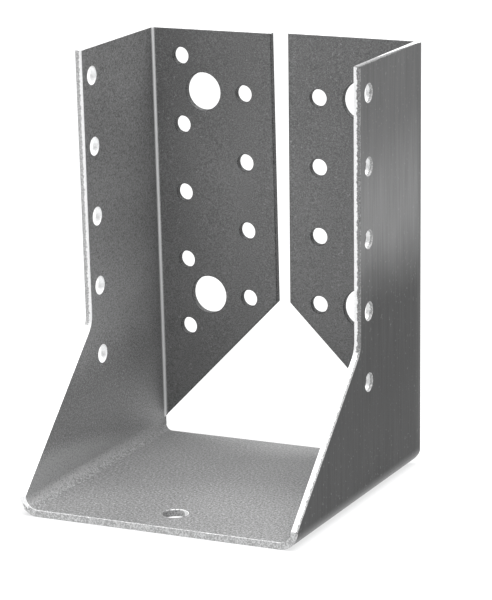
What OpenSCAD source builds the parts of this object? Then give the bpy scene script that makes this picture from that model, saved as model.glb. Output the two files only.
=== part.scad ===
// Joist hanger with inward flanges, folded from one sheet of galvanised steel.
// A seat carries the joist, two walls hold its sides, and two flanges fix to the header.
// X runs across the joist, Y points back at the header and Z is up.
// The origin lies under the seat, in the middle of the part's footprint.

/* [Joist pocket] */
// Clear width between the side walls
joist_w = 80; // [76:1:140]
// Height from the seat's upper face to the top edges
pocket_h = 120; // [100:1:200]
// Depth from the seat's front edge to the back of the flanges
hanger_d = 85; // [70:1:110]

/* [Sheet] */
// Thickness of the sheet
sheet_t = 2; // [1:0.1:3]
// Inside radius of the bends between the seat and the walls
seat_bend_r = 3.5; // [1:0.5:6]
// Inside radius of the bends between the walls and the flanges
flange_bend_r = 1; // [0.5:0.5:4]

/* [Seat] */
// From the back of the flanges forward to the seat's back edge
seat_back_gap = 4.5; // [3:0.5:12]
// Radius in which that edge turns back into the walls
seat_corner_r = 4; // [1:0.5:6]
// Diameter of the hole in the seat
seat_hole_d = 7; // [5:0.5:12]
// From the seat's front edge to that hole
seat_hole_gap = 11.5; // [9:0.5:30]

/* [Side walls] */
// Depth of a wall above its slanted front edge, with the flange behind it
wall_d = 44; // [30:1:60]
// Height above the seat's underside at which the slanted front edge turns upright
kink_h = 44; // [30:1:70]
// Radius of that turn
kink_r = 6; // [1:0.5:12]

/* [Flanges] */
// Gap between the free edges of the two flanges
flange_gap = 4.4; // [2:0.2:10]
// Slope of the flanges' lower edges, in degrees from level
flange_slope = 45; // [35:1:50]
// From the top of the seat's bend up to a lower edge, at the wall's inner face
flange_foot_gap = 0.2; // [0.1:0.1:6]
// Depth of the cuts below the flange bends, which free them from the seat's bends
fold_relief = 1.7; // [1:0.1:2.5]

/* [Nail holes] */
// Diameter of a nail hole
nail_d = 5; // [3:0.5:6]
// Height from one hole to the next in a column
nail_pitch = 20; // [15:1:30]
// From the top edge down to the first hole of a wall and of a flange's outer column
nail_top = 8; // [5:0.5:12]
// From the wall's inner face to the flange's outer column
nail_wall_gap = 9; // [6:0.5:12]
// From the flange's free edge to its inner column
nail_edge_gap = 8.8; // [5:0.1:11]
// From the wall's upright front edge to its column
nail_front_gap = 5.5; // [4:0.5:12]

/* [Bolt holes] */
// Diameter of a bolt hole
bolt_d = 11; // [8:0.5:12]
// From the wall's inner face to the bolt holes
bolt_wall_gap = 16; // [14:0.5:19]

/* [Hidden] */
$fn = 64;
// Least metal left between a flange hole and the lower edge
edge_min = 3;
// How far a cutting tool runs past the sheet
overrun = 1;

half_w = joist_w / 2;
outer_w = joist_w + 2 * sheet_t;
hanger_h = pocket_h + sheet_t;
seat_bend_top = sheet_t + seat_bend_r;
flange_foot = seat_bend_top + flange_foot_gap;
flange_bend_depth = sheet_t + flange_bend_r;

y_front = -hanger_d / 2;
y_back = hanger_d / 2;
y_upper = y_back - wall_d;
y_seat_back = y_back - seat_back_gap;

outer_x = half_w - nail_wall_gap;
inner_x = flange_gap / 2 + nail_edge_gap;
bolt_x = half_w - bolt_wall_gap;

// Height of the flanges' lower edge at a distance from the middle
function lower_edge(x) = flange_foot + (half_w - x) * tan(flange_slope);

// Heights of the holes of one flange column, from its first hole down to the lower edge
function hole_rows(x, first, d) =
    let (lowest = lower_edge(x) + (d / 2 + edge_min) / cos(flange_slope))
    [for (z = first; z >= lowest; z = z - nail_pitch) z];

outer_rows = hole_rows(outer_x, hanger_h - nail_top, nail_d);
inner_rows = hole_rows(inner_x, hanger_h - nail_top - nail_pitch / 2, nail_d);
bolt_rows = [inner_rows[0], inner_rows[len(inner_rows) - 1]];

// Draws its children on the right and, mirrored, on the left
module both_sides() {
    children();
    mirror([1, 0, 0]) children();
}

// Outline of a bent channel: its web lies along X and its two corners are round
module channel_outline(bend_r, leg, inset) {
    half = outer_w / 2 - inset;
    r = bend_r + sheet_t - inset;
    translate([-half, inset + r]) square([2 * half, leg - inset - r]);
    translate([r - half, inset]) square([2 * (half - r), r]);
    both_sides() {
        intersection() {
            translate([half - r, inset + r]) circle(r = r);
            translate([half - r, inset]) square(r);
        }
    }
}

// Section of the sheet along such a channel
module channel_section(bend_r, leg) {
    difference() {
        channel_outline(bend_r, leg, 0);
        channel_outline(bend_r, leg + overrun, sheet_t);
    }
}

// Side view of a wall with its edge of the seat: the front edge slants, then turns upright
module wall_outline() {
    turn = atan2(y_upper - y_front, kink_h - seat_bend_top);
    tangent = kink_r * tan(turn / 2);
    centre = [y_upper - kink_r, kink_h + tangent];
    kink = [y_upper, kink_h];
    on_slant = kink - tangent * [sin(turn), cos(turn)];
    polygon([
        [y_front, 0], [y_back, 0], [y_back, hanger_h],
        [y_upper, hanger_h], kink, [y_front, seat_bend_top]
    ]);
    difference() {
        polygon([kink, [y_upper, centre.y], centre, on_slant]);
        translate(centre) circle(r = kink_r);
    }
}

// Front view of one flange, up to the wall's inner face
module flange_outline() {
    polygon([
        [flange_gap / 2, lower_edge(flange_gap / 2)], [flange_gap / 2, hanger_h],
        [half_w, hanger_h], [half_w, flange_foot]
    ]);
}

// Top view of the whole part, with the round backs of the flange bends
module footprint() {
    translate([0, y_back]) mirror([0, 1]) channel_outline(flange_bend_r, hanger_d, 0);
}

// Top view of the space behind the seat, whose back edge turns into the walls in two arcs
module window_outline() {
    translate([0, y_seat_back - sheet_t])
        channel_outline(seat_corner_r, sheet_t + seat_corner_r + seat_back_gap, sheet_t);
}

// Top view of the cuts below the flange bends, right across the part
module relief_outline() {
    translate([-outer_w / 2 - overrun, y_back - fold_relief])
        square([outer_w + 2 * overrun, fold_relief + overrun]);
}

// Seat and side walls: one channel along Y, trimmed to the wall's side view and the footprint
module seat_and_walls() {
    difference() {
        intersection() {
            translate([0, y_back, 0]) rotate([90, 0, 0])
                linear_extrude(hanger_d) channel_section(seat_bend_r, hanger_h);
            translate([-outer_w / 2, 0, 0]) rotate([90, 0, 90])
                linear_extrude(outer_w) wall_outline();
            linear_extrude(hanger_h) footprint();
        }
        translate([0, 0, -overrun]) linear_extrude(seat_bend_top + overrun) {
            window_outline();
            relief_outline();
        }
    }
}

// The two flanges with their bends: one channel along Z, trimmed to the flanges' front view
module flanges() {
    intersection() {
        translate([0, y_back, 0]) mirror([0, 1, 0])
            linear_extrude(hanger_h) channel_section(flange_bend_r, flange_bend_depth + overrun);
        translate([0, y_back, 0]) rotate([90, 0, 0])
            linear_extrude(flange_bend_depth) both_sides() flange_outline();
    }
}

// Cutter for a round hole through the sheet, along Z from its outer face
module drill(d) {
    translate([0, 0, -overrun]) cylinder(d = d, h = sheet_t + 2 * overrun);
}

// Holes of the right-hand flange, drilled from its back face
module flange_holes() {
    for (z = outer_rows) translate([outer_x, y_back, z]) rotate([90, 0, 0]) drill(nail_d);
    for (z = inner_rows) translate([inner_x, y_back, z]) rotate([90, 0, 0]) drill(nail_d);
    for (z = bolt_rows) translate([bolt_x, y_back, z]) rotate([90, 0, 0]) drill(bolt_d);
}

// Holes of the right-hand wall, drilled from its outer face
module wall_holes() {
    for (z = outer_rows) {
        translate([outer_w / 2, y_upper + nail_front_gap, z]) rotate([0, -90, 0]) drill(nail_d);
    }
}

// Hole in the middle of the seat, drilled from below
module seat_hole() {
    translate([0, y_front + seat_hole_gap, 0]) drill(seat_hole_d);
}

// The whole hanger
module hanger() {
    color("#8f9294") difference() {
        union() {
            seat_and_walls();
            flanges();
        }
        both_sides() {
            flange_holes();
            wall_holes();
        }
        seat_hole();
    }
}

hanger();
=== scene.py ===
"""Looks of the joist hanger: its folded sheet, the steel's three finishes, the studio and the camera."""

import logging
import math
from dataclasses import dataclass, field
from enum import Enum
from typing import Callable, Dict, List, Optional, Sequence, Tuple, Union

import bpy
from mathutils import Matrix, Vector


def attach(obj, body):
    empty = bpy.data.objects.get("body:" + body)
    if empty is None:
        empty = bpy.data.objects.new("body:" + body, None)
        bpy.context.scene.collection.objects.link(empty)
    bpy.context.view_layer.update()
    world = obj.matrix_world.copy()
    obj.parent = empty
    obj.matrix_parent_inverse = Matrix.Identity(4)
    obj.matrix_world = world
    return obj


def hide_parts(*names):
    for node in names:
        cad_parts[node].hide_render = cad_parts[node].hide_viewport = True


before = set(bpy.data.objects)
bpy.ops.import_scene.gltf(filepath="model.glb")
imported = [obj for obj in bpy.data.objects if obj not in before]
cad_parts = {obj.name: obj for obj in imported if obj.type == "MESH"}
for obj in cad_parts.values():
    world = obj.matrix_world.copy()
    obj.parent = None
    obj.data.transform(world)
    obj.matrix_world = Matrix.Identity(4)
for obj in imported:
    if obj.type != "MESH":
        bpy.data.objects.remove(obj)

LOG = logging.getLogger("joist_hanger")
METRES_PER_MM = 0.001
TOUCH_MM = 1e-6
ZINC_TINT = (1.0, 1.003, 1.006)

Point = Tuple[float, float, float]
Colour = Tuple[float, float, float, float]
Band = Tuple[float, float]


class Element(Enum):
    """Kind of mesh element that a selection is made of."""

    VERTEX = "VERT"
    EDGE = "EDGE"
    FACE = "FACE"


class Side(Enum):
    """Side of the hanger as seen from the joist, as the sign of its X."""

    LEFT = -1
    RIGHT = 1


class Slot(Enum):
    """Place of each finish in the sheet's material slots."""

    INNER = 0
    OUTER = 1
    EDGE = 2


class Rim(Enum):
    """How each edge is drawn: the cut, and the light and shade on it.

    The first number is the part of the sheet's thickness that was sheared clean before the sheet
    broke, and the second is how light the broken rest is, from 0 to 1. The values follow how
    each edge looks, so the all-white ones are partly a painted highlight on edges that face the
    lamp, and SHADED is painted shade on the flanges' free edges, which face into the gap between them.
    """

    BURNISHED_AND_LIT = (1.5, 1.0)
    SHADED = (-1.0, 0.05)
    SEAT = (-0.06, 0.95)
    LEFT_WALL = (1.2, 1.0)
    LEFT_UPRIGHT = (0.4, 0.9)
    RIGHT_HOLE = (0.6, 0.75)
    RIGHT_SLANT = (0.72, 0.5)
    RIGHT_UPRIGHT = (0.5, 0.4)


def near(first: float, second: float) -> bool:
    """Says whether two places on the bench are the same."""
    return abs(first - second) < TOUCH_MM


def share(value: float) -> float:
    """Keeps a value between 0 and 1."""
    return min(max(value, 0.0), 1.0)


class Bench:
    """A modeller's steps, each one an operator on one mesh. Lengths on the bench are millimetres."""

    @staticmethod
    def take(piece: bpy.types.Object) -> None:
        """Makes one object the only selected one, in object mode.

        Args:
            piece: The object to take.
        """
        if bpy.context.mode != "OBJECT":
            bpy.ops.object.mode_set(mode="OBJECT")
        bpy.ops.object.select_all(action="DESELECT")
        piece.select_set(True)
        bpy.context.view_layer.objects.active = piece

    @staticmethod
    def clear() -> None:
        """Leaves edit mode and deselects every object."""
        if bpy.context.mode != "OBJECT":
            bpy.ops.object.mode_set(mode="OBJECT")
        bpy.ops.object.select_all(action="DESELECT")

    @classmethod
    def block(cls, name: str, low: Point, high: Point) -> bpy.types.Object:
        """Adds a box between two corners.

        Args:
            name: Name of the object.
            low: Its lowest corner.
            high: Its highest corner.

        Returns:
            The box, with its place in its mesh.
        """
        cls.clear()
        middle = [(a + b) / 2 for a, b in zip(low, high)]
        size = [b - a for a, b in zip(low, high)]
        bpy.ops.mesh.primitive_cube_add(size=1.0, location=middle, scale=size)
        return cls._settle(name)

    @classmethod
    def rod(
        cls, name: str, middle: Point, turn: Point, diameter: float, length: float, sides: int
    ) -> bpy.types.Object:
        """Adds a round rod.

        Args:
            name: Name of the object.
            middle: The middle of the rod.
            turn: Turn about X, Y and Z of a rod that stands along Z, in radians.
            diameter: Its diameter.
            length: Its length.
            sides: Number of its sides.

        Returns:
            The rod, with its place in its mesh.
        """
        cls.clear()
        bpy.ops.mesh.primitive_cylinder_add(
            vertices=sides, radius=diameter / 2, depth=length, location=middle, rotation=turn
        )
        return cls._settle(name)

    @staticmethod
    def _settle(name: str) -> bpy.types.Object:
        """Names the new primitive and moves its place and size into its mesh."""
        piece = bpy.context.active_object
        piece.name = name
        bpy.ops.object.transform_apply(location=True, rotation=True, scale=True)
        return piece

    @classmethod
    def pick(cls, piece: bpy.types.Object, kind: Element, test: Callable[[List[Vector]], bool]) -> None:
        """Goes into edit mode with the elements selected whose corners pass a test.

        Args:
            piece: The object to edit.
            kind: What is selected.
            test: Takes an element's corners and says whether it is selected.
        """
        cls.take(piece)
        bpy.ops.object.mode_set(mode="EDIT")
        bpy.ops.mesh.select_mode(type=kind.value)
        bpy.ops.mesh.select_all(action="DESELECT")
        bpy.ops.object.mode_set(mode="OBJECT")
        mesh = piece.data
        if kind is Element.VERTEX:
            for corner in mesh.vertices:
                corner.select = test([corner.co])
        else:
            elements = mesh.edges if kind is Element.EDGE else mesh.polygons
            for element in elements:
                element.select = test([mesh.vertices[i].co for i in element.vertices])
        bpy.ops.object.mode_set(mode="EDIT")

    @classmethod
    def round_edges(
        cls, piece: bpy.types.Object, offset: float, segments: int, test: Callable[[List[Vector]], bool]
    ) -> None:
        """Rounds the edges that pass a test.

        Args:
            piece: The object to edit.
            offset: How far from the edge the rounding starts, which is its radius at a right angle.
            segments: Number of flat steps in the rounding.
            test: Takes an edge's two ends and says whether it is rounded.
        """
        cls.pick(piece, Element.EDGE, test)
        bpy.ops.mesh.bevel(
            offset=offset,
            offset_type="OFFSET",
            segments=segments,
            profile=0.5,
            affect="EDGES",
            clamp_overlap=False,
        )
        cls.clear()

    @classmethod
    def turn(
        cls,
        piece: bpy.types.Object,
        angle: float,
        axis: str,
        centre: Point,
        test: Callable[[List[Vector]], bool],
    ) -> None:
        """Turns the vertices that pass a test about an axis, the way the fingers of the right hand point.

        Args:
            piece: The object to edit.
            angle: The turn in degrees.
            axis: X, Y or Z.
            centre: A point on the axis of the turn.
            test: Takes a list with one vertex and says whether it turns.
        """
        cls.pick(piece, Element.VERTEX, test)
        bpy.ops.transform.rotate(
            value=-math.radians(angle), orient_axis=axis, orient_type="GLOBAL", center_override=centre
        )
        cls.clear()

    @classmethod
    def finish(cls, piece: bpy.types.Object, kind: str, **settings: object) -> None:
        """Adds one modifier and applies it.

        Args:
            piece: The object that gets it.
            kind: Type of the modifier.
            settings: Values of its properties.
        """
        cls.take(piece)
        modifier = piece.modifiers.new(kind.lower(), kind)
        for name, value in settings.items():
            setattr(modifier, name, value)
        bpy.ops.object.modifier_apply(modifier=modifier.name)

    @classmethod
    def carve(cls, piece: bpy.types.Object, tool: bpy.types.Object) -> None:
        """Cuts one object with another and throws the cutting one away.

        Args:
            piece: The object that is cut.
            tool: The object that cuts it.
        """
        cls.finish(piece, "BOOLEAN", object=tool, operation="DIFFERENCE", solver="EXACT")
        shape = tool.data
        bpy.data.objects.remove(tool, do_unlink=True)
        bpy.data.meshes.remove(shape)

    @classmethod
    def join(cls, pieces: Sequence[bpy.types.Object]) -> bpy.types.Object:
        """Joins several objects into the first of them.

        Args:
            pieces: The objects.

        Returns:
            The first object, with the meshes of all.
        """
        cls.take(pieces[0])
        for piece in pieces[1:]:
            piece.select_set(True)
        bpy.ops.object.join()
        return pieces[0]


class Value:
    """A number socket of a shader that can stand in a Python expression."""

    def __init__(self, shader: "Shader", socket: bpy.types.NodeSocket) -> None:
        """Wraps a socket.

        Args:
            shader: The shader that the socket belongs to.
            socket: An output socket that carries a number.
        """
        self.shader = shader
        self.socket = socket

    def _math(self, operation: str, first: "Number", second: "Number") -> "Value":
        """Adds a Math node and returns its result."""
        node = self.shader.node("ShaderNodeMath", {"operation": operation}, {0: first, 1: second})
        return Value(self.shader, node.outputs[0])

    def __add__(self, other: "Number") -> "Value":
        """Returns self + other."""
        return self._math("ADD", self, other)

    def __radd__(self, other: "Number") -> "Value":
        """Returns other + self."""
        return self._math("ADD", other, self)

    def __sub__(self, other: "Number") -> "Value":
        """Returns self - other."""
        return self._math("SUBTRACT", self, other)

    def __rsub__(self, other: "Number") -> "Value":
        """Returns other - self."""
        return self._math("SUBTRACT", other, self)

    def __mul__(self, other: "Number") -> "Value":
        """Returns self * other."""
        return self._math("MULTIPLY", self, other)

    def __rmul__(self, other: "Number") -> "Value":
        """Returns other * self."""
        return self._math("MULTIPLY", other, self)

    def band(self, low: float, high: float) -> "Value":
        """Returns 0 below low and 1 above high, with a smooth rise between them."""
        node = self.shader.node(
            "ShaderNodeMapRange",
            {"interpolation_type": "SMOOTHSTEP"},
            {"Value": self, "From Min": low, "From Max": high},
        )
        return Value(self.shader, node.outputs[0])


Number = Union[Value, float]
Feed = Union[Value, bpy.types.NodeSocket, float, Tuple[float, ...]]


@dataclass(frozen=True)
class Pattern:
    """One noise: its blobs in a metre, its finer layers, their strength, and its density along X, Y and Z."""

    per_metre: float
    detail: float
    roughness: float
    along: Point = (1.0, 1.0, 1.0)


GRAIN = Pattern(3000.0, 2.0, 0.6)
FINE_GRAIN = Pattern(6500.0, 1.0, 0.5)
COARSE_GRAIN = Pattern(1500.0, 3.0, 0.7)
CLOUD = Pattern(26.0, 3.0, 0.55)
STREAK = Pattern(1300.0, 3.0, 0.6, (1.0, 1.0, 0.03))
SPECK = Pattern(1250.0, 1.0, 0.4)
TEAR = Pattern(1100.0, 3.0, 0.65)
CRUMB = Pattern(2600.0, 2.0, 0.65)
SCRAPE = Pattern(2400.0, 1.0, 0.5)
FLOOR_CLOUD = Pattern(3.0, 2.0, 0.5)


class Shader:
    """One material's node tree, built from expressions on values and from one method for every other node."""

    def __init__(self, name: str) -> None:
        """Starts a material with a bare surface shader.

        Args:
            name: Name of the material.
        """
        self.material = bpy.data.materials.new(name)
        self.material.use_nodes = True
        self.tree = self.material.node_tree
        self.tree.nodes.clear()
        self.place = self.node("ShaderNodeTexCoord").outputs["Object"]

    def node(
        self,
        kind: str,
        settings: Optional[Dict[str, object]] = None,
        sockets: Optional[Dict[Union[str, int], Feed]] = None,
    ) -> bpy.types.Node:
        """Adds one node.

        Args:
            kind: Type of the node.
            settings: Values of its properties, set before its sockets.
            sockets: Values or links of its inputs, by name or number.

        Returns:
            The node.
        """
        made = self.tree.nodes.new(kind)
        for name, value in (settings or {}).items():
            setattr(made, name, value)
        for name, feed in (sockets or {}).items():
            target = made.inputs[name]
            if isinstance(feed, Value):
                self.tree.links.new(feed.socket, target)
            elif isinstance(feed, bpy.types.NodeSocket):
                self.tree.links.new(feed, target)
            else:
                target.default_value = feed
        return made

    def stretched(self, scale: Point) -> bpy.types.NodeSocket:
        """Returns the place on the piece, scaled along X, Y and Z."""
        node = self.node("ShaderNodeMapping", sockets={"Vector": self.place, "Scale": scale})
        return node.outputs["Vector"]

    def noise(self, pattern: Pattern) -> Value:
        """Adds a noise.

        Args:
            pattern: Its size and its layers.

        Returns:
            A value about 0.5.
        """
        node = self.node(
            "ShaderNodeTexNoise",
            sockets={
                "Vector": self.stretched(pattern.along),
                "Scale": pattern.per_metre,
                "Detail": pattern.detail,
                "Roughness": pattern.roughness,
            },
        )
        return Value(self, node.outputs["Fac"])

    def along(self, axis: str) -> Value:
        """Returns the place on the piece along X, Y or Z, in metres."""
        node = self.node("ShaderNodeSeparateXYZ", sockets={"Vector": self.place})
        return Value(self, node.outputs[axis])

    def attribute(self, name: str) -> Value:
        """Returns a number that the mesh carries at each corner."""
        return Value(self, self.node("ShaderNodeAttribute", {"attribute_name": name}).outputs["Fac"])

    def blend(self, amount: Number, first: Feed, second: Feed) -> bpy.types.NodeSocket:
        """Mixes two colours.

        Args:
            amount: 0 for the first colour, 1 for the second.
            first: A colour.
            second: Another colour.

        Returns:
            The mixed colour.
        """
        node = self.node(
            "ShaderNodeMix", {"data_type": "RGBA", "clamp_factor": True}, {0: amount, 6: first, 7: second}
        )
        return node.outputs[2]

    def bump(self, height: Value, depth_mm: float, strength: float) -> bpy.types.NodeSocket:
        """Returns a normal for a relief of that depth."""
        node = self.node(
            "ShaderNodeBump",
            sockets={"Height": height, "Distance": depth_mm * METRES_PER_MM, "Strength": strength},
        )
        return node.outputs["Normal"]

    def surface(self, **sockets: Feed) -> bpy.types.Material:
        """Ends the tree in one surface shader.

        Args:
            sockets: Inputs of the shader, with underscores for spaces.

        Returns:
            The material.
        """
        named = {name.replace("_", " "): feed for name, feed in sockets.items()}
        shader = self.node("ShaderNodeBsdfPrincipled", sockets=named)
        self.node("ShaderNodeOutputMaterial", sockets={"Surface": shader.outputs["BSDF"]})
        return self.material


def grey(level: float) -> Colour:
    """Returns a neutral colour of that level."""
    red, green, blue = (level * part for part in ZINC_TINT)
    return (red, green, blue, 1.0)


@dataclass(frozen=True)
class GalvanisedFinish:
    """Zinc coat of the inner faces: matt and grainy, lighter on the seat, with a painted highlight along the
    folds.
    On it lie painted shade on the flanges, towards the top, low on the walls and at the seat's front,
    painted light towards the bottom and the seat's right, and painted bounce light on the walls above the seat.

    The bands are heights (seat, bounce, waist) and places along Y (front, flange), in metres, where
    one tone gives way to the next. The shades are painted shade, taken off the grain before it becomes a colour.
    """

    wall_dark: float = 0.13
    wall_light: float = 0.35
    seat_dark: float = 0.14
    seat_light: float = 0.42
    # Tones of the painted bounce light low on the walls, just above the seat.
    bounce_dark: float = 0.30
    bounce_light: float = 0.66
    # Tone of the painted highlight along the folds.
    fold: float = 0.85
    speck: float = 0.75
    speck_size: Band = (0.68, 0.76)
    speck_share: float = 0.2
    contrast: Band = (0.22, 0.78)
    metallic: float = 0.60
    smooth: float = 0.42
    rough: float = 0.60
    dullness: Band = (0.05, 0.65)
    relief_mm: float = 0.06
    relief_strength: float = 0.4
    front_end: Band = (-0.030, 0.040)
    flange_start: Band = (0.036, 0.040)
    # Painted shade that makes the flanges darker than the walls.
    flange_painted_shade: float = 0.115
    seat_end: Band = (0.002, 0.004)
    # Painted shade towards the seat's front and painted light towards its right.
    seat_front_painted_shade: float = 0.44
    seat_painted_light_slope: float = 1.2
    # Where the painted bounce light starts and ends, and its strength.
    bounce_start: Band = (0.0021, 0.0045)
    bounce_end: Band = (0.008, 0.032)
    bounce_share: float = 0.42
    # Painted shade low on the walls, stronger towards the front: its heights, its rise at the front and its
    # strengths.
    waist_start: Band = (0.001, 0.007)
    waist_end: Band = (0.025, 0.044)
    waist_rise: float = 0.010
    waist_front: Band = (0.012, 0.040)
    waist_front_painted_shade: float = 0.18
    waist_painted_shade: float = 0.05
    # Painted shade towards the top and painted light towards the bottom, about this middle height.
    height_shading: float = 0.9
    height_shading_middle: float = 0.070

    def material(self) -> bpy.types.Material:
        """Makes the material.

        Returns:
            The material of the inner faces.
        """
        shader = Shader("galvanised_sheet")
        level = shader.along("Z")
        back = shader.along("Y")
        grain = shader.noise(GRAIN)
        fine = shader.noise(FINE_GRAIN)
        coarse = shader.noise(COARSE_GRAIN)
        cloud = shader.noise(CLOUD)
        streak = shader.noise(STREAK)
        speck = shader.noise(SPECK).band(*self.speck_size)
        seat = 1.0 - level.band(*self.seat_end)
        front = 1.0 - back.band(*self.front_end)
        flange = back.band(*self.flange_start)
        # Painted bounce light low on the walls, stronger towards the front.
        painted_bounce = self.bounce_share * front * (1.0 - level.band(*self.bounce_end)) * level.band(*self.bounce_start)
        # Painted shade low on the walls, stronger towards the front.
        waist = (level - self.waist_rise * front).band(*self.waist_start) * (1.0 - level.band(*self.waist_end))
        low_wall_painted_shade = self.waist_front_painted_shade * (1.0 - back.band(*self.waist_front)) + self.waist_painted_shade * (1.0 - flange)
        # The flanges are painted darker with shade.
        matt = 0.65 * grain + 0.30 * fine + 0.25 * coarse + 0.22 * cloud - 0.130 - self.flange_painted_shade * flange
        matt = matt + (1.0 - flange) * (0.55 * (coarse - 0.5) + 0.35 * (grain - 0.5))
        # Painted shade towards the top and painted light towards the bottom; then the painted shade low on the
        # walls is taken off.
        matt = matt + self.height_shading * (self.height_shading_middle - level) - waist * low_wall_painted_shade
        # On the seat the coarse grain is stronger at the front, standing in for the grazing light that shows its
        # speckle there; painted shade darkens the front and painted light brightens the right side, where the
        # right wall's shadow falls.
        gritty = 0.45 * grain + (0.75 + 0.7 * front) * coarse + 0.15 * cloud - 0.140
        gritty = gritty - self.seat_front_painted_shade * front + self.seat_painted_light_slope * shader.along("X")
        upper = shader.blend(matt.band(*self.contrast), grey(self.wall_dark), grey(self.wall_light))
        lower = shader.blend(gritty.band(*self.contrast), grey(self.seat_dark), grey(self.seat_light))
        # Tone of the painted bounce light, laid over the walls and seat.
        bounce_tone = shader.blend(matt.band(*self.contrast), grey(self.bounce_dark), grey(self.bounce_light))
        body = shader.blend(painted_bounce, shader.blend(seat, upper, lower), bounce_tone)
        # Painted highlight along the folds.
        highlighted = shader.blend(shader.attribute(FoldedSheet.FOLD_HIGHLIGHT), body, grey(self.fold))
        colour = shader.blend(self.speck_share * speck, highlighted, grey(self.speck))
        dull = 0.5 * grain + 0.3 * cloud + 0.2 * streak
        gloss = self.smooth + (self.rough - self.smooth) * dull.band(*self.dullness)
        return shader.surface(
            Base_Color=colour,
            Metallic=self.metallic,
            Roughness=gloss,
            Normal=shader.bump(0.6 * grain + 0.25 * fine, self.relief_mm, self.relief_strength),
        )


@dataclass(frozen=True)
class BrushedFinish:
    """Zinc coat of the outer faces: brushed upright and darker, the darkness being painted shade, with a band of
    painted sheen high on the right-hand wall; the other outer faces take a tone between the two.

    The bands are places in metres: heights of the painted sheen, and where its wall starts and ends.
    """

    # Dark outer tones, which are painted shade, and the tones of the painted sheen; plain is the other outer
    # faces' tone between the two.
    dark: float = 0.036
    light: float = 0.078
    painted_sheen_dark: float = 0.150
    painted_sheen_light: float = 0.250
    plain: float = 0.32
    plain_cloud: float = 0.5
    # Tone of the painted highlight along the folds and of the painted reflection on the outside of the seat's
    # bends.
    fold: float = 0.85
    speck: float = 0.75
    speck_size: Band = (0.68, 0.76)
    speck_share: float = 0.1
    contrast: Band = (0.22, 0.78)
    metallic: float = 0.25
    specular: float = 0.15
    smooth: float = 0.45
    rough: float = 0.62
    dullness: Band = (0.25, 0.75)
    relief_mm: float = 0.06
    relief_strength: float = 0.4
    # Heights of the painted sheen band on the right-hand wall, how much it drops above, its waver, and where that
    # wall starts and ends.
    painted_sheen_start: Band = (0.050, 0.077)
    painted_sheen_end: Band = (0.080, 0.110)
    painted_sheen_loss: float = 0.60
    painted_sheen_drift: float = 0.016
    wall_start: Band = (0.030, 0.040)
    wall_end: Band = (0.036, 0.042)

    def material(self) -> bpy.types.Material:
        """Makes the material.

        Returns:
            The material of the outer faces.
        """
        shader = Shader("brushed_zinc")
        level = shader.along("Z")
        grain = shader.noise(GRAIN)
        cloud = shader.noise(CLOUD)
        streak = shader.noise(STREAK)
        speck = shader.noise(SPECK).band(*self.speck_size)
        brushed = (0.25 * grain + 0.60 * streak + 0.45 * cloud - 0.15).band(*self.contrast)
        # Painted sheen high on the right-hand wall over painted shade below it; the other outer faces take a tone
        # between them.
        drift = level + self.painted_sheen_drift * (cloud - 0.5)
        painted_sheen_band = drift.band(*self.painted_sheen_start) - self.painted_sheen_loss * drift.band(*self.painted_sheen_end)
        wall = shader.along("X").band(*self.wall_start) * (1.0 - shader.along("Y").band(*self.wall_end))
        painted_sheen = wall * painted_sheen_band + (1.0 - wall) * (self.plain + self.plain_cloud * (cloud - 0.5))
        dim = shader.blend(brushed, grey(self.dark), grey(self.light))
        lit = shader.blend(brushed, grey(self.painted_sheen_dark), grey(self.painted_sheen_light))
        body = shader.blend(painted_sheen, dim, lit)
        # Painted highlight along the folds and painted reflection of the floor on the outside of the seat's
        # bends.
        highlighted = shader.blend(shader.attribute(FoldedSheet.FOLD_HIGHLIGHT), body, grey(self.fold))
        colour = shader.blend(self.speck_share * speck, highlighted, grey(self.speck))
        dull = 0.5 * grain + 0.3 * cloud + 0.2 * streak
        gloss = self.smooth + (self.rough - self.smooth) * dull.band(*self.dullness)
        return shader.surface(
            Base_Color=colour,
            Metallic=self.metallic,
            Roughness=gloss,
            Specular_IOR_Level=self.specular,
            Normal=shader.bump(0.4 * grain + 0.6 * streak, self.relief_mm, self.relief_strength),
        )


@dataclass(frozen=True)
class ShearedFinish:
    """Cut edges: a bright burnished band next to the inner face, then a ragged grey fracture."""

    burnished: float = 1.0
    scraped: float = 0.9
    scraping: Band = (0.30, 0.72)
    dark_pit: float = 0.03
    dark_break: float = 0.12
    light_pit: float = 0.42
    light_break: float = 0.70
    pitting: Band = (0.43, 0.57)
    tear_share: float = 0.7
    tear_line: Band = (-0.04, 0.06)
    metallic: float = 0.40
    relief_mm: float = 0.12
    relief_strength: float = 0.7

    def material(self) -> bpy.types.Material:
        """Makes the material.

        Returns:
            The material of the cut edges.
        """
        shader = Shader("sheared_edge")
        past = shader.attribute(FoldedSheet.FRACTURE)
        ragged = shader.noise(TEAR)
        crumb = shader.noise(CRUMB)
        scrape = shader.noise(SCRAPE)
        torn = (past + self.tear_share * (ragged - 0.5)).band(*self.tear_line)
        rough = crumb.band(*self.pitting)
        dark = shader.blend(rough, grey(self.dark_pit), grey(self.dark_break))
        light = shader.blend(rough, grey(self.light_pit), grey(self.light_break))
        # The broken part's tone per edge, painted shade and painted light included.
        broken = shader.blend(shader.attribute(FoldedSheet.EDGE_TONE), dark, light)
        bright = shader.blend(scrape.band(*self.scraping), grey(self.scraped), grey(self.burnished))
        colour = shader.blend(torn, bright, broken)
        gloss = 0.45 + 0.10 * scrape + 0.20 * torn
        relief = torn * (0.7 * crumb + 0.3 * ragged) + 0.12 * scrape
        return shader.surface(
            Base_Color=colour,
            Metallic=self.metallic,
            Roughness=gloss,
            Normal=shader.bump(relief, self.relief_mm, self.relief_strength),
        )


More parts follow.
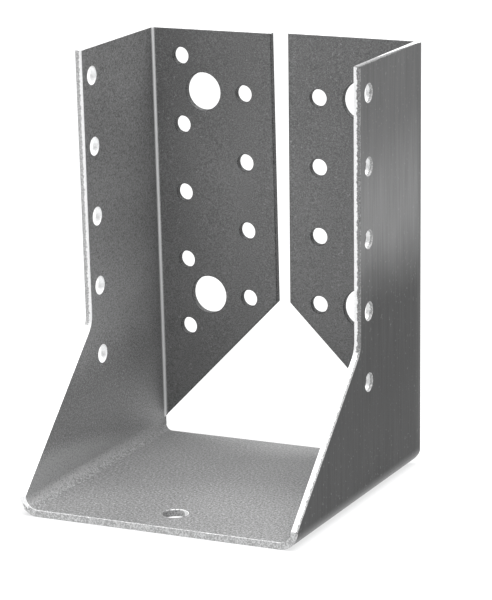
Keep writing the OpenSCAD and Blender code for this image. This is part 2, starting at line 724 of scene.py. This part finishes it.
@dataclass
class FoldedSheet:
    """The hanger's one sheet, with its bends, cut edges and punched holes. Lengths are millimetres."""

    ACROSS = "across"
    # The fold mark is a painted highlight along the folds and a painted reflection on the outside of the seat's
    # bends.
    FOLD_HIGHLIGHT = "fold"
    FRACTURE = "fracture"
    # Tone of each edge's broken part, which holds painted shade on the flanges' free edges and painted light on
    # the seat hole's right.
    EDGE_TONE = "edge_tone"

    width: float = 80.0
    height: float = 122.0
    depth: float = 85.0
    sheet: float = 2.0
    seat_bend: float = 3.5
    flange_bend: float = 1.0
    seat_back_gap: float = 4.5
    seat_corner: float = 4.0
    wall_depth: float = 44.0
    kink_height: float = 44.0
    kink_round: float = 6.0
    flange_gap: float = 3.9
    flange_foot: float = 5.7
    fold_relief: float = 1.7
    nail: float = 5.0
    nail_pitch: float = 20.0
    outer_top: float = 8.0
    outer_count: int = 5
    inner_top: float = 18.0
    inner_count: int = 4
    outer_column: float = 31.0
    inner_column: float = 11.0
    wall_column: float = 4.0
    bolt: float = 11.0
    bolt_column: float = 24.0
    seat_hole: float = 7.0
    seat_hole_gap: float = 11.5
    bend_steps: int = 14
    hole_sides: int = 48
    edge_round: float = 0.2
    edge_steps: int = 2
    edge_angle: float = 40.0
    smooth_angle: float = 42.0
    flat_angle: float = 0.3
    weld: float = 0.005
    skin: float = 0.02
    # Strength of the painted reflection of the floor on the outside of the seat's bends.
    seat_bend_reflection: float = 0.25
    rim_zone: float = 1.0
    bend_rim_drop: float = 0.8
    bend_rim_slope: float = 1.1
    # Painted highlight on the seat hole's right side and painted shade on its left: where the white part starts,
    # and how fast it and the lightness grow along X.
    hole_highlight_start: float = 0.8
    hole_highlight_slope: float = 1.2
    hole_far_clean: float = 0.05
    hole_light: float = 0.62
    hole_painted_light_slope: float = 0.10
    top_clean: Band = (-0.3, 1.0)
    top_clean_start: float = 30.0
    top_clean_run: float = 6.0
    top_light: float = 0.62
    top_light_slope: float = 0.5
    slack: float = 0.01
    lean: Dict[Side, float] = field(default_factory=lambda: {Side.LEFT: 0.1, Side.RIGHT: 0.85})
    overturn: Dict[Side, float] = field(default_factory=lambda: {Side.LEFT: 1.0, Side.RIGHT: 2.5})
    past: float = 20.0

    @property
    def half(self) -> float:
        """Half the clear width."""
        return self.width / 2

    @property
    def back(self) -> float:
        """Y of the flanges' back faces."""
        return self.depth / 2

    @property
    def front(self) -> float:
        """Y of the seat's front edge."""
        return -self.depth / 2

    @property
    def bend_top(self) -> float:
        """Height at which the seat's bends end."""
        return self.sheet + self.seat_bend

    @property
    def fold_front(self) -> float:
        """Y at which the flanges' bends start."""
        return self.back - self.sheet - self.flange_bend

    def build(self) -> bpy.types.Object:
        """Models the sheet.

        Returns:
            The finished piece, in metres.
        """
        piece = self._outer_form()
        Bench.carve(piece, self._pocket())
        Bench.carve(piece, self._window())
        Bench.carve(piece, self._relief())
        Bench.carve(piece, self._front())
        Bench.carve(piece, self._holes())
        self._break_edges(piece)
        self._mark(piece)
        self._spring_back(piece)
        self._to_metres(piece)
        return piece

    def _outer_form(self) -> bpy.types.Object:
        """Returns the block that the sheet wraps, with the outsides of its four bends."""
        outer = self.half + self.sheet
        piece = Bench.block("folded_sheet", (-outer, self.front, 0.0), (outer, self.back, self.height))
        radius = self.seat_bend + self.sheet
        Bench.round_edges(
            piece,
            radius,
            self.bend_steps,
            lambda ends: all(near(p.z, 0.0) for p in ends) and ends[0].x == ends[1].x,
        )
        reach = self.flange_bend + self.sheet
        for side in Side:
            corner = side.value * (outer - reach)
            far = side.value * (outer + self.past)
            tool = Bench.block(
                "fold_back",
                (min(corner, far), self.back - reach, -self.past),
                (max(corner, far), self.back + self.past, self.height + self.past),
            )
            length = self.height + 4 * self.past
            middle = (corner, self.back - reach, self.height / 2)
            fold = Bench.rod("fold", middle, (0.0, 0.0, 0.0), 2 * reach, length, 4 * self.bend_steps)
            Bench.carve(tool, fold)
            Bench.carve(piece, tool)
        return piece

    def _pocket(self) -> bpy.types.Object:
        """Returns the joist's space, with the insides of the four bends."""
        tool = Bench.block(
            "pocket",
            (-self.half, self.front - self.past, self.bend_top),
            (self.half, self.back - self.sheet, self.height + self.past),
        )
        Bench.round_edges(
            tool,
            self.flange_bend,
            self.bend_steps,
            lambda ends: all(p.y > self.fold_front for p in ends) and ends[0].x == ends[1].x,
        )
        Bench.pick(tool, Element.FACE, lambda corners: all(near(p.z, self.bend_top) for p in corners))
        flat = self.half - self.seat_bend
        last = (self.half, self.bend_top)
        for step in range(1, self.bend_steps + 1):
            angle = step / self.bend_steps * math.pi / 2
            reach = flat + self.seat_bend * math.cos(angle)
            level = self.bend_top - self.seat_bend * math.sin(angle)
            bpy.ops.mesh.extrude_region_move(TRANSFORM_OT_translate={"value": (0.0, 0.0, level - last[1])})
            bpy.ops.transform.resize(value=(reach / last[0], 1.0, 1.0), center_override=(0.0, 0.0, level))
            last = (reach, level)
        Bench.clear()
        return tool

    def _window(self) -> bpy.types.Object:
        """Returns the space behind the seat, under the flanges and between them."""
        tool = Bench.block(
            "window",
            (-self.half, self.back - self.seat_back_gap, -self.past),
            (self.half, self.back + self.past, self.flange_foot),
        )
        Bench.round_edges(
            tool,
            self.seat_corner,
            self.bend_steps,
            lambda ends: all(p.y < self.back for p in ends) and ends[0].x == ends[1].x,
        )
        Bench.pick(tool, Element.FACE, lambda corners: all(near(p.z, self.flange_foot) for p in corners))
        free = self.flange_gap / 2
        rise = self.half - free
        bpy.ops.mesh.extrude_region_move(TRANSFORM_OT_translate={"value": (0.0, 0.0, rise)})
        bpy.ops.transform.resize(
            value=(free / self.half, 1.0, 1.0), center_override=(0.0, 0.0, self.flange_foot + rise)
        )
        bpy.ops.mesh.extrude_region_move(TRANSFORM_OT_translate={"value": (0.0, 0.0, self.height)})
        Bench.clear()
        return tool

    def _relief(self) -> bpy.types.Object:
        """Returns the cuts below the flanges' bends, which free them from the seat's bends."""
        outer = self.half + self.past
        return Bench.block(
            "relief",
            (-outer, self.back - self.fold_relief, -self.past),
            (outer, self.back + self.past, self.bend_top),
        )

    def _front(self) -> bpy.types.Object:
        """Returns the space in front of the walls, whose edges slant and then turn upright."""
        upright = self.back - self.wall_depth
        reach = self.depth - self.wall_depth
        drop = self.kink_height - self.bend_top
        far = self.front - self.past
        outer = self.half + self.past
        tool = Bench.block(
            "front", (-outer, far, self.kink_height), (outer, upright, self.height + self.past)
        )
        Bench.pick(
            tool,
            Element.EDGE,
            lambda ends: all(near(p.z, self.kink_height) and near(p.y, far) for p in ends),
        )
        bpy.ops.transform.translate(value=(0.0, 0.0, (far - upright) * drop / reach))
        turn = math.atan2(reach, drop)
        Bench.round_edges(
            tool,
            self.kink_round * math.tan(turn / 2),
            self.bend_steps // 2,
            lambda ends: all(near(p.z, self.kink_height) and near(p.y, upright) for p in ends),
        )
        return tool

    def _rows(self, top: float, count: int) -> List[float]:
        """Returns the heights of a column's nail holes, from the lowest up."""
        return [self.height - top - self.nail_pitch * step for step in reversed(range(count))]

    def _holes(self) -> bpy.types.Object:
        """Returns the rods that punch every hole, as one object."""
        upright = (0.0, 0.0, 0.0)
        along_y = (math.pi / 2, 0.0, 0.0)
        along_x = (0.0, math.pi / 2, 0.0)
        outer_rows = self._rows(self.outer_top, self.outer_count)
        inner_rows = self._rows(self.inner_top, self.inner_count)
        columns = (
            (self.outer_column, outer_rows, self.nail),
            (self.inner_column, inner_rows, self.nail),
            (self.bolt_column, (inner_rows[0], inner_rows[-1]), self.bolt),
        )
        middle_y = self.back - self.sheet / 2
        short = 4 * self.sheet
        rods = [
            Bench.rod("punch", (side * column, middle_y, level), along_y, hole, short, self.hole_sides)
            for column, rows, hole in columns
            for side in (-1.0, 1.0)
            for level in rows
        ]
        across = 2 * (self.half + self.past)
        for level in outer_rows:
            middle = (0.0, self.wall_column, level)
            rods.append(Bench.rod("punch", middle, along_x, self.nail, across, self.hole_sides))
        middle = (0.0, self.front + self.seat_hole_gap, self.sheet / 2)
        rods.append(Bench.rod("punch", middle, upright, self.seat_hole, short, self.hole_sides))
        return Bench.join(rods)

    def _break_edges(self, piece: bpy.types.Object) -> None:
        """Gives every cut edge the small round of a sheared sheet."""
        Bench.take(piece)
        bpy.ops.object.mode_set(mode="EDIT")
        bpy.ops.mesh.select_all(action="SELECT")
        bpy.ops.mesh.remove_doubles(threshold=self.weld)
        bpy.ops.mesh.dissolve_limited(angle_limit=math.radians(self.flat_angle))
        Bench.clear()
        Bench.finish(
            piece,
            "BEVEL",
            width=self.edge_round,
            segments=self.edge_steps,
            limit_method="ANGLE",
            angle_limit=math.radians(self.edge_angle),
            use_clamp_overlap=False,
        )

    def _across(self, spot: Vector) -> float:
        """Says how deep in the sheet a point lies.

        Args:
            spot: A point of the sheet, before it springs back.

        Returns:
            0 on the inner face and 1 on the outer one.
        """
        side = abs(spot.x)
        if spot.z < self.bend_top:
            flat = self.half - self.seat_bend
            if side < flat:
                deep = self.sheet - spot.z
            else:
                deep = math.hypot(side - flat, spot.z - self.bend_top) - self.seat_bend
        elif spot.y > self.fold_front:
            flat = self.half - self.flange_bend
            if side < flat:
                deep = spot.y - (self.back - self.sheet)
            else:
                deep = math.hypot(side - flat, spot.y - self.fold_front) - self.flange_bend
        else:
            deep = side - self.half
        return share(deep / self.sheet)

    def _fold_highlight(self, spot: Vector) -> float:
        """Says how strongly a point is painted bright: a painted highlight along the flanges' folds and a painted
        reflection of the floor on the outside of the seat's bends.

        Args:
            spot: A point of the sheet, before it springs back.

        Returns:
            1 in the middle of a flange's fold, less on the outside of the seat's bends, and 0 on flat sheet.
        """
        side = abs(spot.x)
        if spot.z < self.bend_top:
            turn = math.atan2(self.bend_top - spot.z, side - (self.half - self.seat_bend))
            strength = self.seat_bend_reflection * self._across(spot)
        else:
            turn = math.atan2(spot.y - self.fold_front, side - (self.half - self.flange_bend))
            strength = 1.0
        return strength * math.sin(2 * turn) ** 2 if 0.0 < turn < math.pi / 2 else 0.0

    def _cut_edge(self, face: Vector, spot: Vector) -> Tuple[float, float]:
        """Says how an edge is drawn at a point: its cut, with the painted highlight and painted shade that the
        Rim values carry.

        Args:
            face: The middle of the face that the point belongs to.
            spot: A point of an edge, before it springs back.

        Returns:
            The part of the sheet's thickness that was sheared clean before the sheet broke, and
            how light the broken rest is, from 0 to 1.
        """
        hole_y = self.front + self.seat_hole_gap
        reach = 0.5 * self.seat_hole + 2 * self.edge_round
        if face.z < self.bend_top and math.hypot(face.x, face.y - hole_y) < reach:
            return self._hole_edge(spot)
        at_top = face.z > self.height - self.rim_zone
        if face.y > self.fold_front:
            # Flange tops are drawn all white, partly a painted highlight; the other flange edges are drawn dark,
            # which on the free edges facing into the gap is painted shade.
            return (Rim.BURNISHED_AND_LIT if at_top else Rim.SHADED).value
        if face.z < self.bend_top - self.bend_rim_drop:
            rise = self.bend_top - spot.z
            reach = -spot.x - (self.half - self.seat_bend)
            # Near the left bend the seat's front edge is drawn all white, partly a painted highlight.
            return (Rim.BURNISHED_AND_LIT if reach > self.bend_rim_slope * rise else Rim.SEAT).value
        if face.x > 0.0 and at_top:
            return self._right_top(spot)
        return self._wall_edge(face, at_top).value

    def _hole_edge(self, spot: Vector) -> Tuple[float, float]:
        """Says the same as _cut_edge for the seat's hole, which has a painted highlight on the right and painted
        shade on the left.
        """
        far_side = spot.y > self.front + self.seat_hole_gap + self.rim_zone
        least = self.hole_far_clean if far_side else Rim.SHADED.value[0]
        # Painted highlight: the white, clean part grows towards the right; painted shade: the broken rest darkens
        # towards the left.
        clean = self.hole_highlight_slope * (spot.x - self.hole_highlight_start)
        return max(clean, least), share(self.hole_light + self.hole_painted_light_slope * spot.x)

    def _right_top(self, spot: Vector) -> Tuple[float, float]:
        """Says the same as _cut_edge for the right-hand wall's top, which is clean only at the back."""
        front, back = self.top_clean
        clean = front + (back - front) * share((spot.y - self.top_clean_start) / self.top_clean_run)
        return clean, self.top_light - self.top_light_slope * self._across(spot)

    def _wall_edge(self, face: Vector, at_top: bool) -> Rim:
        """Names the edge of a wall, above the seat's bend, that a face belongs to.

        Args:
            face: The middle of the face.
            at_top: Whether the face is on the wall's top edge.

        Returns:
            How the edge is drawn there, painted light and shade included.
        """
        slanted = face.z < self.kink_height
        in_hole = not at_top and face.y > self.back - self.wall_depth + self.rim_zone
        if face.x < 0.0:
            return Rim.LEFT_WALL if slanted or in_hole or at_top else Rim.LEFT_UPRIGHT
        if in_hole:
            return Rim.RIGHT_HOLE
        return Rim.RIGHT_SLANT if slanted else Rim.RIGHT_UPRIGHT

    def _mark(self, piece: bpy.types.Object) -> None:
        """Writes each corner's depth, its painted fold highlight and how its edge is drawn, painted light and
        shade included, into the mesh.
        """
        mesh = piece.data
        spots = [corner.co for corner in mesh.vertices]
        depths = [self._across(spot) for spot in spots]
        edges = [(i, self._cut_edge(face.center, spots[i])) for face in mesh.polygons for i in face.vertices]
        marks = (
            (self.ACROSS, "POINT", depths),
            (self.FOLD_HIGHLIGHT, "POINT", [self._fold_highlight(spot) for spot in spots]),
            (self.FRACTURE, "CORNER", [depths[i] - clean for i, (clean, _) in edges]),
            (self.EDGE_TONE, "CORNER", [light for _, (_, light) in edges]),
        )
        for name, domain, values in marks:
            mesh.attributes.new(name, "FLOAT", domain).data.foreach_set("value", values)

    def _spring_back(self, piece: bpy.types.Object) -> None:
        """Lets the walls lean out and the flanges turn a little past square, as the bent steel does."""
        for side in Side:
            sign = side.value
            edge = sign * self.half
            flat = self.half - self.flange_bend + self.slack
            Bench.turn(
                piece,
                sign * self.overturn[side],
                "Z",
                (edge, self.back - self.sheet, 0.0),
                lambda spot: spot[0].y > self.fold_front and 0.0 < sign * spot[0].x < flat
                and spot[0].z > self.bend_top,
            )
            Bench.turn(
                piece,
                sign * self.lean[side],
                "Y",
                (edge, 0.0, self.bend_top - self.sheet),
                lambda spot: sign * spot[0].x > 0.0 and spot[0].z > self.bend_top - self.slack,
            )

    def _to_metres(self, piece: bpy.types.Object) -> None:
        """Scales the mesh from millimetres to metres and shades its bends smooth."""
        Bench.pick(piece, Element.VERTEX, lambda spot: True)
        bpy.ops.transform.resize(value=(METRES_PER_MM,) * 3, center_override=(0.0, 0.0, 0.0))
        Bench.take(piece)
        bpy.ops.object.shade_smooth_by_angle(angle=math.radians(self.smooth_angle))
        Bench.finish(piece, "WEIGHTED_NORMAL", mode="FACE_AREA", weight=50, keep_sharp=True)

    def dress(self, piece: bpy.types.Object) -> None:
        """Gives the sheet its finishes and ties it to the CAD part.

        Args:
            piece: The finished piece.
        """
        mesh = piece.data
        mesh.materials.clear()
        for finish in (GalvanisedFinish(), BrushedFinish(), ShearedFinish()):
            mesh.materials.append(finish.material())
        depths = [entry.value for entry in mesh.attributes[self.ACROSS].data]
        for polygon in mesh.polygons:
            corners = [depths[i] for i in polygon.vertices]
            if any(self.skin < depth < 1.0 - self.skin for depth in corners):
                place = Slot.EDGE
            else:
                place = Slot.OUTER if corners[0] > 0.5 else Slot.INNER
            polygon.material_index = place.value
        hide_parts("hanger")
        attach(piece, "root")


@dataclass(frozen=True)
class SoftBox:
    """One soft studio lamp. Lengths are metres."""

    name: str
    place: Point
    aim: Point
    width: float
    height: float
    power: float

    def build(self) -> bpy.types.Object:
        """Adds the lamp.

        Returns:
            The lamp, pointed at its aim.
        """
        Bench.clear()
        bpy.ops.object.light_add(type="AREA", location=self.place)
        lamp = bpy.context.active_object
        lamp.name = self.name
        lamp.data.shape = "RECTANGLE"
        lamp.data.size = self.width
        lamp.data.size_y = self.height
        lamp.data.energy = self.power
        lamp.rotation_euler = (Vector(self.aim) - Vector(self.place)).to_track_quat("-Z", "Y").to_euler()
        return lamp


@dataclass
class Studio:
    """Plain pale floor, even white surroundings and soft lamps. Lengths are metres."""

    floor_size: float = 6.0
    floor_level: float = 0.20
    floor_glow: float = 0.74
    floor_rough: float = 0.9
    floor_mottle: float = 0.98
    mottling: Band = (0.3, 0.7)
    sky: float = 0.30
    lamps: Sequence[SoftBox] = (
        SoftBox("top_lamp", (0.45, 0.05, 3.0), (0.0, 0.0, 0.0), 3.2, 3.2, 255.0),
    )

    def build(self) -> None:
        """Adds the floor, the surroundings and the lamps."""
        Bench.clear()
        bpy.ops.mesh.primitive_plane_add(size=self.floor_size)
        floor = bpy.context.active_object
        floor.name = "floor"
        shader = Shader("pale_floor")
        cloud = shader.noise(FLOOR_CLOUD).band(*self.mottling)
        level = shader.blend(cloud, grey(self.floor_level * self.floor_mottle), grey(self.floor_level))
        floor.data.materials.append(
            shader.surface(
                Base_Color=level,
                Roughness=self.floor_rough,
                Emission_Color=grey(1.0),
                Emission_Strength=self.floor_glow,
            )
        )
        world = bpy.data.worlds.new("studio")
        world.use_nodes = True
        sky = world.node_tree.nodes["Background"]
        sky.inputs["Color"].default_value = (1.0, 1.0, 1.0, 1.0)
        sky.inputs["Strength"].default_value = self.sky
        bpy.context.scene.world = world
        bpy.context.scene.view_settings.view_transform = "Standard"
        for lamp in self.lamps:
            lamp.build()
            LOG.info("lamp %s", lamp.name)


@dataclass(frozen=True)
class PhotoCamera:
    """Camera at the photograph's view. Lengths are metres and angles degrees."""

    place: Point = (0.36487, -0.72203, 0.26135)
    azimuth: float = 26.320
    elevation: float = 14.373
    roll: float = -1.480
    focal_pixels: float = 3030.9
    image_height: float = 600.0
    sensor: float = 36.0
    nearest: float = 0.05
    farthest: float = 50.0

    def build(self) -> bpy.types.Object:
        """Adds the camera and makes it the scene's.

        Returns:
            The camera.
        """
        azimuth, elevation, roll = (math.radians(a) for a in (self.azimuth, self.elevation, self.roll))
        ahead = Vector(
            (
                -math.sin(azimuth) * math.cos(elevation),
                math.cos(azimuth) * math.cos(elevation),
                -math.sin(elevation),
            )
        )
        level = ahead.cross(Vector((0.0, 0.0, 1.0))).normalized()
        upright = level.cross(ahead)
        right = math.cos(roll) * level + math.sin(roll) * upright
        up = math.cos(roll) * upright - math.sin(roll) * level
        Bench.clear()
        bpy.ops.object.camera_add()
        camera = bpy.context.active_object
        camera.name = "photo_camera"
        turn = Matrix((right, up, -ahead)).transposed().to_4x4()
        camera.matrix_world = Matrix.Translation(self.place) @ turn
        camera.data.sensor_width = self.sensor
        camera.data.lens = self.focal_pixels * self.sensor / self.image_height
        camera.data.clip_start = self.nearest
        camera.data.clip_end = self.farthest
        bpy.context.scene.camera = camera
        return camera


def main() -> None:
    """Builds the camera, the studio and the sheet, in that order."""
    logging.basicConfig(level=logging.INFO, format="%(name)s: %(message)s")
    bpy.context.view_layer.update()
    camera = PhotoCamera().build()
    LOG.info("camera %s, lens %.1f mm", camera.name, camera.data.lens)
    Studio().build()
    sheet = FoldedSheet()
    piece = sheet.build()
    sheet.dress(piece)
    LOG.info("piece %s: %d faces", piece.name, len(piece.data.polygons))


if __name__ == "__main__":
    main()
